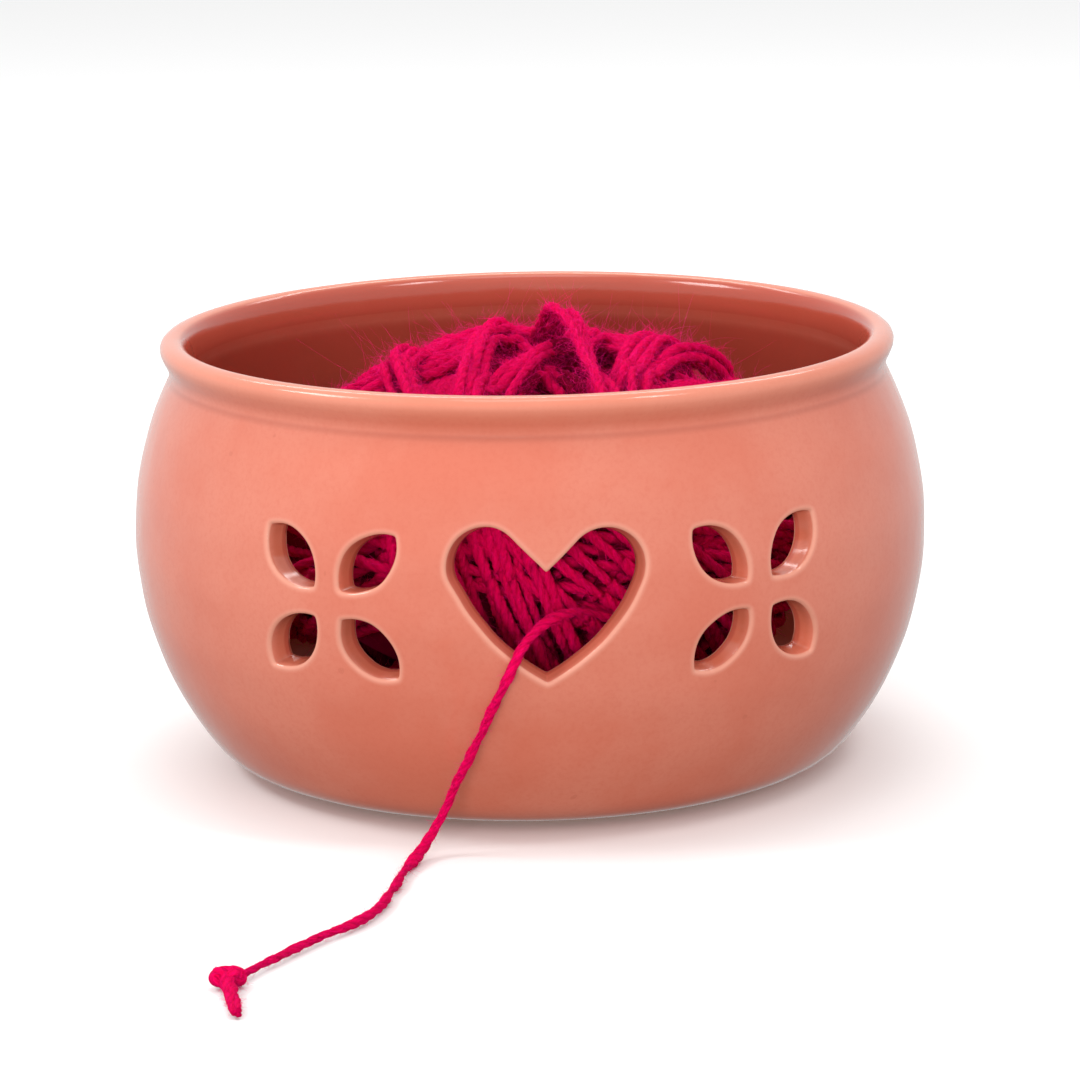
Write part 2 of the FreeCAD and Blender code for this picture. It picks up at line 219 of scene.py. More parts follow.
def resample(points, step):
    """The same line with evenly spaced points."""
    reach = along(points)
    count = max(2, int(round(reach[-1] / step)) + 1)
    where = np.linspace(0, reach[-1], count)
    return np.stack([np.interp(where, reach, points[:, k]) for k in range(points.shape[1])], 1)


def blur(values, spread, wrap=False):
    """Gaussian smoothing along the first axis; spread is in samples."""
    half = int(math.ceil(3 * spread))
    weights = np.exp(-0.5 * (np.arange(-half, half + 1) / spread) ** 2)
    weights /= weights.sum()
    values = np.asarray(values, float)
    flat = values.reshape(len(values), -1)
    padded = np.pad(flat, ((half, half), (0, 0)), mode="wrap" if wrap else "edge")
    smooth = np.stack([np.convolve(column, weights, "valid") for column in padded.T], 1)
    return smooth.reshape(values.shape)


# ---------------------------------------------------------------- the bowl's section


def arc(centre, radius, first, last, step=0.1):
    """Points (r, z) on an arc; the angles are in degrees, anticlockwise from the outward direction."""
    count = max(3, int(abs(math.radians(last - first)) * radius / step))
    angles = np.radians(np.linspace(first, last, count))
    return np.stack([centre[0] + radius * np.cos(angles), centre[1] + radius * np.sin(angles)], 1)


def tangent_circle(point, centre, radius, small):
    """Centre of the outer circle of radius small through point that touches the big circle from inside."""
    offset = np.subtract(point, centre)
    apart = np.linalg.norm(offset)
    reach = radius - small
    a = (reach**2 - small**2 + apart**2) / (2 * apart)
    b = math.sqrt(reach**2 - a**2)
    line = offset / apart
    side = np.array([-line[1], line[0]])
    found = [np.add(centre, line * a + side * b * sign) for sign in (1, -1)]
    return max(found, key=lambda c: c[0])


def slant(centre, point):
    """The direction from a centre to a point, in degrees."""
    return math.degrees(math.atan2(point[1] - centre[1], point[0] - centre[0]))


def bowl_section():
    """The clay's whole section as one line (r, z): underside, outside, rim, inside, floor; evenly dense."""
    centre = (BOWL_RADIUS - BELLY_ARC, BELLY_HEIGHT)
    turn_centre = tangent_circle(GLAZE_LINE, centre, BELLY_ARC, TURN_ARC)
    joint = slant(centre, turn_centre)
    neck_angle = math.degrees(math.asin((NECK_HEIGHT - BELLY_HEIGHT) / BELLY_ARC))
    inner = BELLY_ARC - WALL
    drop = BELLY_HEIGHT - FLOOR_HEIGHT - INNER_TURN_ARC
    floor_edge = centre[0] + math.sqrt((inner - INNER_TURN_ARC) ** 2 - drop**2)
    inner_joint = math.degrees(math.atan2(-drop, floor_edge - centre[0]))
    narrowing, rise = BOWL_RADIUS - WALL - INNER_NECK[0], INNER_NECK[1] - BELLY_HEIGHT
    upper = (narrowing**2 + rise**2) / (2 * narrowing)
    upper_angle = math.degrees(math.asin(rise / upper))
    corners = [
        np.array(FOOT),
        arc(turn_centre, TURN_ARC, slant(turn_centre, GLAZE_LINE), joint),
        arc(centre, BELLY_ARC, joint, neck_angle),
        np.array(LIP + CROWN),
        arc((BOWL_RADIUS - WALL - upper, BELLY_HEIGHT), upper, upper_angle, 0),
        arc(centre, inner, 0, inner_joint)[1:],
        arc((floor_edge, FLOOR_HEIGHT + INNER_TURN_ARC), INNER_TURN_ARC, inner_joint, -90)[1:],
        np.array([(0, FLOOR_HEIGHT)]),
    ]
    dense = resample(np.concatenate(corners), SECTION_STEP)
    smooth = blur(dense, 5)
    smooth[0], smooth[-1] = dense[0], dense[-1]
    smooth[:, 0] = np.maximum(smooth[:, 0], 0)
    smooth[:, 1] = np.clip(smooth[:, 1], 0, RIM_HEIGHT)
    return smooth


def bowl_rows(section):
    """Rows of the bowl's mesh, closer together where the section bends: their indices in the section."""
    tangent = unit(np.gradient(section, axis=0))
    bend = np.linalg.norm(np.gradient(tangent, axis=0), axis=1) / SECTION_STEP
    spacing = np.clip(0.30 / np.maximum(blur(bend, 8), 1e-3), 0.35, 2.0)
    wanted = np.cumsum(SECTION_STEP / blur(spacing, 15))
    return np.unique(np.searchsorted(wanted, np.arange(0, wanted[-1], 1.0)).tolist() + [len(section) - 1])


class Skin:
    """One face of the wall, outer or inner, as a surface of revolution known by height."""

    def __init__(self, section, normals, outward):
        order = np.argsort(section[:, 1])
        self.z, self.r = section[order, 1], section[order, 0]
        self.normal = normals[order]
        self.outward = outward
        self.scale = BOWL_RADIUS if outward else BOWL_RADIUS - WALL  # bearings times this lie flat

    def radius(self, z):
        return np.interp(z, self.z, self.r)

    def place(self, bearing, z):
        """Points and normals, out of the clay, at bearings in radians and heights."""
        r = self.radius(z)
        nr, nz = (np.interp(z, self.z, self.normal[:, k]) for k in (0, 1))
        side = np.stack([np.sin(bearing), -np.cos(bearing), np.zeros_like(r)], -1)
        up = np.array([0, 0, 1.0])
        return side * r[..., None] + up * z[..., None], side * nr[..., None] + up * nz[..., None]

    def reach(self, cut, flat_points):
        """Bearing and height where rays from the belly's middle through a flat outline meet this face."""
        u, w = flat_points[:, 0], flat_points[:, 1]
        level = np.hypot(u, BOWL_RADIUS)
        z = BELLY_HEIGHT + w
        for _ in range(12):
            z = BELLY_HEIGHT + w * self.radius(z) / level
        return math.radians(cut) + np.arctan2(u, BOWL_RADIUS), z


def heart_outline():
    """The heart on a plane one belly radius from the middle, anticlockwise; the lobes lean a little."""
    to_cusp = HEART_CUSP - LOBE_CENTRE
    start = math.atan2(to_cusp[1], to_cusp[0]) - math.acos(LOBE_ARC / np.linalg.norm(to_cusp))
    offset = HEART_TIP - LOBE_CENTRE
    apart = np.linalg.norm(offset)
    reach = HEART_SIDE_ARC - LOBE_ARC
    a = (reach**2 - HEART_SIDE_ARC**2 + apart**2) / (2 * apart)
    b = math.sqrt(reach**2 - a**2)
    across = np.array([-offset[1], offset[0]]) / apart
    found = [LOBE_CENTRE + offset / apart * a + across * b * sign for sign in (1, -1)]
    side_centre = min(found, key=lambda c: c[0])
    join = slant(side_centre, LOBE_CENTRE)
    lobe = arc(LOBE_CENTRE, LOBE_ARC, math.degrees(start) + 360, join)
    side = arc(side_centre, HEART_SIDE_ARC, join, slant(side_centre, HEART_TIP))[1:]
    right = np.concatenate([HEART_CUSP[None], lobe, side])
    left = right[::-1][1:-1] * (-1, 1)
    outline = np.concatenate([right, left])[::-1].copy()
    outline[:, 1] -= HEART_TILT * outline[:, 0]
    return outline


def petal_outline(turn):
    """A leaf-shaped petal pointing away from the blossom's middle, anticlockwise."""
    chord = PETAL_OUTER - PETAL_INNER
    radius = (chord**2 / 4 + PETAL_HALF_WIDTH**2) / (2 * PETAL_HALF_WIDTH)
    swing = math.degrees(math.asin(chord / 2 / radius))
    middle = (PETAL_INNER + PETAL_OUTER) / 2
    right = arc((PETAL_HALF_WIDTH - radius, middle), radius, -swing, swing)
    left = arc((radius - PETAL_HALF_WIDTH, middle), radius, 180 - swing, 180 + swing)[1:-1]
    outline = np.concatenate([right, left])
    c, s = math.cos(math.radians(turn)), math.sin(math.radians(turn))
    return outline @ np.array([[c, s], [-s, c]])


OUTLINE_STEP = 0.12
HAND_WAVER = 0.10


def hand_cut(outline):
    """Softens an outline's corners, and makes it as uneven as a cut by hand."""
    closed = resample(np.vstack([outline, outline[:1]]), OUTLINE_STEP)[:-1]
    closed = blur(closed, 3.0, wrap=True)
    waver = blur(chance.normal(size=len(closed)), 22, wrap=True)
    waver *= HAND_WAVER / waver.std()
    edge = unit(np.roll(closed, -1, 0) - np.roll(closed, 1, 0))
    closed = closed + np.stack([edge[:, 1], -edge[:, 0]], 1) * waver[:, None]
    turn = np.abs(np.cross(edge, np.roll(edge, -1, 0)))
    spacing = np.clip(0.10 / np.maximum(blur(turn, 3, wrap=True), 1e-4) * OUTLINE_STEP, 0.16, 0.5)
    wanted = np.cumsum(OUTLINE_STEP / blur(spacing, 4, wrap=True))
    return closed[np.unique(np.searchsorted(wanted, np.arange(0, wanted[-1], 1.0)))]


def cuts():
    """Every cut-out: (bearing in degrees, outline)."""
    found = [(HEART_BEARING, hand_cut(heart_outline()))]
    for way in (-1, 1):
        for turn in PETAL_TURNS:
            found.append((HEART_BEARING + way * BLOSSOM_BEARING, hand_cut(petal_outline(turn))))
    return found


def distance_to_outlines(points, outlines):
    """Distance from each point to the nearest closed outline, in space."""
    best = np.full(len(points), 1e9)
    for line in outlines:
        near = np.flatnonzero(np.linalg.norm(points - line.mean(0), axis=1) < 40)
        a, b = line, np.roll(line, -1, 0)
        step = b - a
        size = (step**2).sum(1)
        for chunk in np.array_split(near, max(1, len(near) // 2000)):
            offset = points[chunk][:, None] - a[None]
            share = np.clip((offset * step).sum(2) / size, 0, 1)
            gap = np.linalg.norm(offset - share[..., None] * step, axis=2).min(1)
            best[chunk] = np.minimum(best[chunk], gap)
    return best


def inside(points, outline):
    """Which flat points lie inside a closed outline."""
    a, b = outline, np.roll(outline, -1, 0)
    x, y = points[:, :1], points[:, 1:]
    crosses = (a[:, 1] > y) != (b[:, 1] > y)
    rise = np.where(b[:, 1] == a[:, 1], 1, b[:, 1] - a[:, 1])
    return (crosses & (x < (b[:, 0] - a[:, 0]) * (y - a[:, 1]) / rise + a[:, 0])).sum(1) % 2 == 1


# The mesh is turned in columns, and finer in a window of bearings and heights round the cut-outs.
COLUMNS = 288
WINDOW = (-50.0, 55.0)
WINDOW_HEIGHTS = (30.0, 78.5)
SECTION_ENDS = 20  # points at the section's two ends, at the axis, that neither face of the wall needs
ROUND_END = math.radians(62)
ROUND_STEPS = np.radians([0, 13, 26, 39, 52])
OUTER_ROW, CLEAR_OF_ROWS = 0.8, 1.3  # past the rounded edge: the last row beside a cut, and the plain net
FAR = 9.0  # the distance from a cut's edge that is given to all points away from the cuts
CUT_ROWS = 7
CUT_ROW_DEPTH = 0.55


def narrowed(outline):
    """The smaller outline that a knife held a little aslant leaves on the inside of the wall."""
    low, high = outline.min(0), outline.max(0)
    return (low + high) / 2 + (outline - (low + high) / 2) * (1 - np.array(CUT_TAPER) / ((high - low) / 2))


def beside(outline, distance):
    """An outline moved out by a distance."""
    edge = unit(np.roll(outline, -1, 0) - np.roll(outline, 1, 0))
    return outline + np.stack([edge[:, 1], -edge[:, 0]], 1) * distance


class BowlMesh:
    """The bowl's mesh as it grows: its points, what the material reads at them, and its faces."""

    def __init__(self):
        self.points, self.values = [], []
        self.quads, self.triangles = [], []

    def add(self, points, edge, cut):
        """Takes points, their distance from a cut's edge and their share of cut face; gives their numbers."""
        start = sum(len(p) for p in self.points)
        count = len(points)
        self.points.append(points)
        self.values.append(np.stack([np.broadcast_to(edge, count), np.broadcast_to(cut, count)], 1))
        return np.arange(start, start + count)

    def turn(self, section, rows, bearings, gaps, first, last):
        """The turned rows, left open where a gap's rows cross the window; gives the grid of point numbers."""
        grid = np.full((len(rows), COLUMNS), -1)
        for j in range(1, len(rows) - 1):
            keep = np.ones(COLUMNS, bool)
            if any(low < j < high for low, high in gaps):
                keep[first + 1 : last] = False
            where = bearings[keep]
            r, z = section[rows[j]]
            ring = np.stack([r * np.sin(where), -r * np.cos(where), np.full(len(where), z)], 1)
            grid[j, keep] = self.add(ring, FAR, 0.0)
        poles = [self.add(np.array([[0, 0, section[end, 1]]]), FAR, 0.0)[0] for end in (0, -1)]
        for j in range(1, len(rows) - 2):
            whole = np.ones(COLUMNS, bool)
            if any(low <= j < high for low, high in gaps):
                whole[first:last] = False
            self.quads.append(bridge(grid[j], grid[j + 1])[whole])
        self.triangles += [fan(poles[0], grid[1]), fan(poles[1], grid[-2], flip=True)]
        return grid

    def window(self, skin, openings, grid, bearings, heights):
        """Fills one face of the window with a finer net round the cuts; gives the numbers along each edge."""
        outlines, flats = [], []
        here = [(bearing, outline if skin.outward else narrowed(outline)) for bearing, outline in openings]
        for bearing, outline in here:
            where, z = skin.reach(bearing, outline)
            outlines.append(skin.place(where, z)[0])
            flats.append(np.stack([where * skin.scale, z], 1))
        border = np.concatenate([grid[0], grid[1:-1, -1], grid[-1][::-1], grid[1:-1, 0][::-1]])
        rim = np.concatenate(self.points)[border]
        rim_flat = np.stack([np.arctan2(rim[:, 0], -rim[:, 1]) * skin.scale, rim[:, 2]], 1)
        net_where, net_z = np.meshgrid(bearings[1:-1], heights[1:-1])
        net = np.stack([net_where.ravel() * skin.scale, net_z.ravel()], 1)
        gap = distance_to_outlines(skin.place(net[:, 0] / skin.scale, net[:, 1])[0], outlines)
        extra = [net[gap > EDGE_ROUND + CLEAR_OF_ROWS]]
        rounded = EDGE_ROUND * (1 - np.sin(ROUND_STEPS) / math.sin(ROUND_END))
        for bearing, outline in here:
            for distance in [*rounded, EDGE_ROUND + OUTER_ROW]:
                where, z = skin.reach(bearing, beside(outline, distance))
                true = distance_to_outlines(skin.place(where, z)[0], outlines)
                extra.append(np.stack([where * skin.scale, z], 1)[true > distance * 0.90])
        extra = np.concatenate(extra)
        extra = extra[~np.any([inside(extra, f) for f in flats], axis=0)]
        made, faces, source, starts = joined_net(rim_flat, flats, extra)
        base, normal = skin.place(made[:, 0] / skin.scale, made[:, 1])
        gap = distance_to_outlines(base, outlines)
        gap[(source >= starts[0]) & (source < starts[-1])] = 0
        rounding = np.clip(EDGE_ROUND - gap, 0, EDGE_ROUND)
        curve = EDGE_ROUND / math.sin(ROUND_END)
        placed = base - normal * (curve - np.sqrt(curve**2 - rounding**2))[:, None]
        index = np.full(len(made), -1)
        on_rim = (source >= 0) & (source < starts[0])
        index[on_rim] = border[source[on_rim]]
        index[~on_rim] = self.add(placed[~on_rim], gap[~on_rim], 0.0)
        self.triangles.append(index[faces] if skin.outward else index[faces][:, ::-1])
        numbered = (source >= 0) & (source < starts[-1])
        order = np.full(starts[-1], -1)
        order[source[numbered]] = index[numbered]
        return [order[low:high] for low, high in zip(starts, starts[1:])]

    def cut_wall(self, outer, inner):
        """The wall's thickness along one cut, from its outer edge to its inner edge."""
        points = np.concatenate(self.points)
        before = outer
        for k in range(1, CUT_ROWS):
            share = k / CUT_ROWS
            line = points[outer] * (1 - share) + points[inner] * share
            after = self.add(line, min(k, CUT_ROWS - k) * CUT_ROW_DEPTH, 1.0)
            self.quads.append(bridge(before, after))
            before = after
        self.quads.append(bridge(before, inner))


def joined_net(border, outlines, extra):
    """Triangles between a flat border and the outlines inside it, through extra points.

    Gives the points, the triangles, each point's number among those given, and where each outline starts.
    """
    starts = np.cumsum([len(border), *(len(f) for f in outlines)])
    loops = [np.arange(low, high) for low, high in zip([0, *starts], starts)]
    edges = np.concatenate([np.stack([loop, np.roll(loop, -1)], 1) for loop in loops])
    flat = np.concatenate([border, *outlines, extra])
    result = geometry.delaunay_2d_cdt([Vector(p) for p in flat], edges.tolist(), [], 0, 1e-5, True)
    points = np.array([tuple(v) for v in result[0]])
    faces = np.array([f for f in result[2] if len(f) == 3])
    middles = points[faces].mean(1)
    faces = faces[~np.any([inside(middles, f) for f in outlines], axis=0)]
    return points, faces, np.array([o[0] if o else -1 for o in result[3]]), starts


def bowl_mesh(material):
    """The fired bowl as one closed mesh: turned rows, and finer skins round the cut-outs."""
    section = bowl_section()
    tangent = unit(np.gradient(section, axis=0))
    normals = np.stack([tangent[:, 1], -tangent[:, 0]], 1)
    rows = bowl_rows(section)
    crown = int(np.argmax(section[:, 1]))
    bearings = np.radians(np.arange(COLUMNS) * 360 / COLUMNS - 180)
    first, last = (int(np.argmin(np.abs(bearings - math.radians(w)))) for w in WINDOW)
    heights = section[rows, 1]
    in_window = (heights > WINDOW_HEIGHTS[0]) & (heights < WINDOW_HEIGHTS[1])
    outer_face, inner_face = slice(SECTION_ENDS, crown), slice(crown, len(section) - SECTION_ENDS)
    skins = [Skin(section[face], normals[face], face is outer_face) for face in (outer_face, inner_face)]
    gaps = [np.flatnonzero(in_window & on_side)[[0, -1]] for on_side in (rows < crown, rows > crown)]

    clay = BowlMesh()
    grid = clay.turn(section, rows, bearings, gaps, first, last)
    openings = cuts()
    edges = []
    across = slice(first, last + 1)
    for skin, (low, high) in zip(skins, gaps):
        up = slice(low, high + 1)
        edges.append(clay.window(skin, openings, grid[up, across], bearings[across], heights[up]))
    for outer, inner in zip(*edges):
        clay.cut_wall(outer, inner)

    points, values = np.concatenate(clay.points), np.concatenate(clay.values)
    faces = [np.concatenate(clay.quads), np.concatenate(clay.triangles)]
    obj = mesh_object("glazed_bowl", throwing_marks(points), faces, material)
    point_value(obj, "edge_distance", values[:, 0])
    point_value(obj, "cut_face", values[:, 1])
    # The inner face, where the material paints shade inside the bowl.
    wall = np.interp(points[:, 2], section[outer_face, 1], section[outer_face, 0]) - 0.6 * WALL
    wall = np.where(points[:, 2] > RIM_HEIGHT - 3, 79.0, wall)
    inward = np.clip((wall - np.hypot(points[:, 0], points[:, 1])) / 1.5, 0, 1)
    point_value(obj, "inside", inward * (points[:, 2] > WALL * 0.8))
    return obj


def throwing_marks(points):
    """Leaves the bowl very slightly out of round, as clay is after firing."""
    r = np.hypot(points[:, 0], points[:, 1])
    bearing = np.arctan2(points[:, 0], -points[:, 1])
    height = points[:, 2] / RIM_HEIGHT
    lean = 0.22 * height * np.cos(2 * bearing + 0.6) + 0.10 * height**2 * np.cos(3 * bearing - 1.1)
    ripple = 0.05 * np.sin(points[:, 2] * 0.42 + 1.3 * np.sin(bearing)) * np.clip(height * 3, 0, 1)
    grown = r + np.where(r > 30, lean + ripple, 0)
    factor = np.where(r > 1e-6, grown / np.maximum(r, 1e-6), 1)
    return points * np.stack([factor, factor, np.ones_like(factor)], 1)


# ---------------------------------------------------------------- yarn


def ply_skin(angle, out=PLY_OFFSET):
    """Distance from a strand's middle to its skin, as a share of its radius, round three soft plies."""
    ply = 1 - out
    lobe = math.tau / PLIES
    off = (angle + lobe / 2) % lobe - lobe / 2
    return out * np.cos(off) + np.sqrt(ply**2 - (out * np.sin(off)) ** 2)


class Strand:
    """A length of yarn: a line, a direction that its twist is counted from, and a radius at each point."""

    def __init__(self, line, normal, radius, sides, turn=0.0, lowest=-math.inf):
        tangent = unit(np.gradient(line, axis=0))
        normal = unit(normal - (normal * tangent).sum(1, keepdims=True) * tangent)
        across = np.cross(tangent, normal)
        self.line, self.tangent = line, tangent
        self.reach = along(line)
        step = np.arange(sides) * math.tau / sides
        angle = step[None] + (turn + self.reach / PLY_PITCH * math.tau)[:, None]
        self.out = normal[:, None] * np.cos(angle)[..., None] + across[:, None] * np.sin(angle)[..., None]
        share = ply_skin(step)
        self.rings = line[:, None] + self.out * (share[None, :, None] * np.asarray(radius)[:, None, None])
        self.rings[..., 2] = np.maximum(self.rings[..., 2], lowest)
        # groove, underside and sunk feed the shade that the material paints.
        self.groove = np.broadcast_to(1 - (share - share.min()) / np.ptp(share), angle.shape)
        self.underside = 1 - np.cos(angle)
        self.sunk = np.zeros(angle.shape)
        self.shade = chance.normal()

    def mesh(self):
        """Points, quads, end fans, and what the material reads: groove and sunk for painted shade, shade for
        the dye's tone, and lay.
        """
        count, sides = self.rings.shape[:2]
        ring = np.arange(count * sides).reshape(count, sides)
        fans = np.vstack([fan(ring.size, ring[0]), fan(ring.size + 1, ring[-1], flip=True)])
        points = np.vstack([self.rings.reshape(-1, 3), self.line[:1], self.line[-1:]])
        angle = np.append(np.tile(np.arange(sides) * math.tau / sides, count), [0, 0])
        fibre = np.stack(
            [
                np.append(self.groove.ravel(), [0.5, 0.5]),
                np.append(self.sunk.ravel(), [0, 0]),
                np.full(len(points), self.shade),
                np.cos(angle),
                np.sin(angle),
                np.append(np.repeat(self.reach, sides), [0, self.reach[-1]]) + 40 * self.shade,
            ],
            1,
        )
        return points, bridge(ring[:-1], ring[1:]), fans, fibre


def as_yarn(obj, body):
    """Puts a piece of yarn on its body, when it is given one."""
    if body:
        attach(obj, body)
    return obj


def yarn_object(name, strands, material, body=None):
    """Joins strands into one piece, with what the material reads."""
    points, quads, fans, fibres = [], [], [], []
    start = 0
    for strand in strands:
        found = strand.mesh()
        points.append(found[0])
        quads.append(found[1] + start)
        fans.append(found[2] + start)
        fibres.append(found[3])
        start += len(found[0])
    obj = mesh_object(name, np.concatenate(points), [np.concatenate(quads), np.concatenate(fans)], material)
    fibres = np.concatenate(fibres)
    # groove and sunk carry painted shade; shade is the dye's tone.
    point_value(obj, "groove", fibres[:, 0])
    point_value(obj, "sunk", fibres[:, 1])
    point_value(obj, "shade", fibres[:, 2])
    lay = obj.data.attributes.new("lay", "FLOAT_VECTOR", "POINT")  # round the ply, round the ply, along it
    lay.data.foreach_set("vector", np.ascontiguousarray(fibres[:, 3:], np.float32).ravel())
    return as_yarn(obj, body)


def hairs(name, strands, count, lengths, material, body=None, *, width, lie, rows=5):
    """Loose fibres that stand off the strands, each a thin curved three-sided thread.

    lengths are the shortest and the longest; lie is how far they follow the strand before they stand off.
    """
    weight = np.array([len(strand.line) for strand in strands], float)
    picks = chance.choice(len(strands), count, p=weight / weight.sum())
    roots, outs, ways = (np.empty((count, 3)) for _ in range(3))
    for number, index in enumerate(picks):
        strand = strands[index]
        ring = chance.integers(2, len(strand.line) - 2)
        side = chance.integers(0, strand.rings.shape[1])
        roots[number] = strand.rings[ring, side] * 0.97 + strand.line[ring] * 0.03
        outs[number] = strand.out[ring, side]
        ways[number] = strand.tangent[ring] * chance.choice([-1, 1])
    size = lengths[0] + (lengths[1] - lengths[0]) * chance.uniform(0, 1, count) ** 2
    size = np.minimum(size, 0.7 * (HAIR_CEILING - roots[:, 2]))
    start = outs * chance.uniform(0.15, 0.9, (count, 1)) + ways * lie
    start = unit(start + chance.normal(0, 0.35, (count, 3)))
    bend = chance.normal(0, 1.0, (count, 3)) - outs * 0.1
    steps = np.linspace(0, 1, rows)
    line = start[:, None] * steps[None, :, None] + bend[:, None] * steps[None, :, None] ** 2 * 0.5
    line = roots[:, None] + line * size[:, None, None]
    line[..., 2] = np.clip(line[..., 2], 2 * width, HAIR_CEILING)
    tangent = unit(np.gradient(line, axis=1))
    across = unit(np.cross(tangent, chance.normal(size=(count, 1, 3))))
    other = np.cross(tangent, across)
    radius = width * chance.uniform(0.6, 1.1, (count, 1)) * (1 - 0.75 * steps[None])
    angle = (np.arange(3) * math.tau / 3)[None, None, :, None]
    out = across[:, :, None] * np.cos(angle) + other[:, :, None] * np.sin(angle)
    rings = line[:, :, None] + radius[..., None, None] * out
    index = np.arange(count * rows * 3).reshape(count, rows, 3)
    caps = np.concatenate([index[:, 0, ::-1], index[:, -1]])
    obj = mesh_object(name, rings.reshape(-1, 3), [bridge(index[:, :-1], index[:, 1:]), caps], material)
    point_value(obj, "shade", np.repeat(chance.normal(0.6, 0.8, count), rows * 3))
    return as_yarn(obj, body)


# ---------------------------------------------------------------- the wound ball


def core_quarter(depth, drop):
    """The core's outline from its top to its widest point, seen from its middle."""
    half, side_out = BALL_HIGH - BALL_MIDDLE - drop, BALL_RADIUS - CORE_SIDE_ARC
    crown = (half**2 - CORE_SIDE_ARC**2 + side_out**2) / (2 * (half - CORE_SIDE_ARC))
    join = math.degrees(math.atan2(crown - half, side_out))
    top = arc((0, half - crown), crown - depth, 90, join, 0.3)
    return np.concatenate([top, arc((side_out, 0), CORE_SIDE_ARC - depth, join, 0, 0.3)[1:]])


def core_table(depth):
    """The core's outline: elevation from its middle, distance, and the outline's direction out."""
    foot = core_quarter(depth, CORE_FOOT_DROP) * (1, -1)
    line = np.concatenate([foot, core_quarter(depth, CORE_TOP_DROP)[::-1][1:]])
    tangent = unit(np.gradient(line, axis=0))
    out = np.stack([tangent[:, 1], -tangent[:, 0]], 1)
    return np.arctan2(line[:, 1], line[:, 0]), np.hypot(*line.T), out


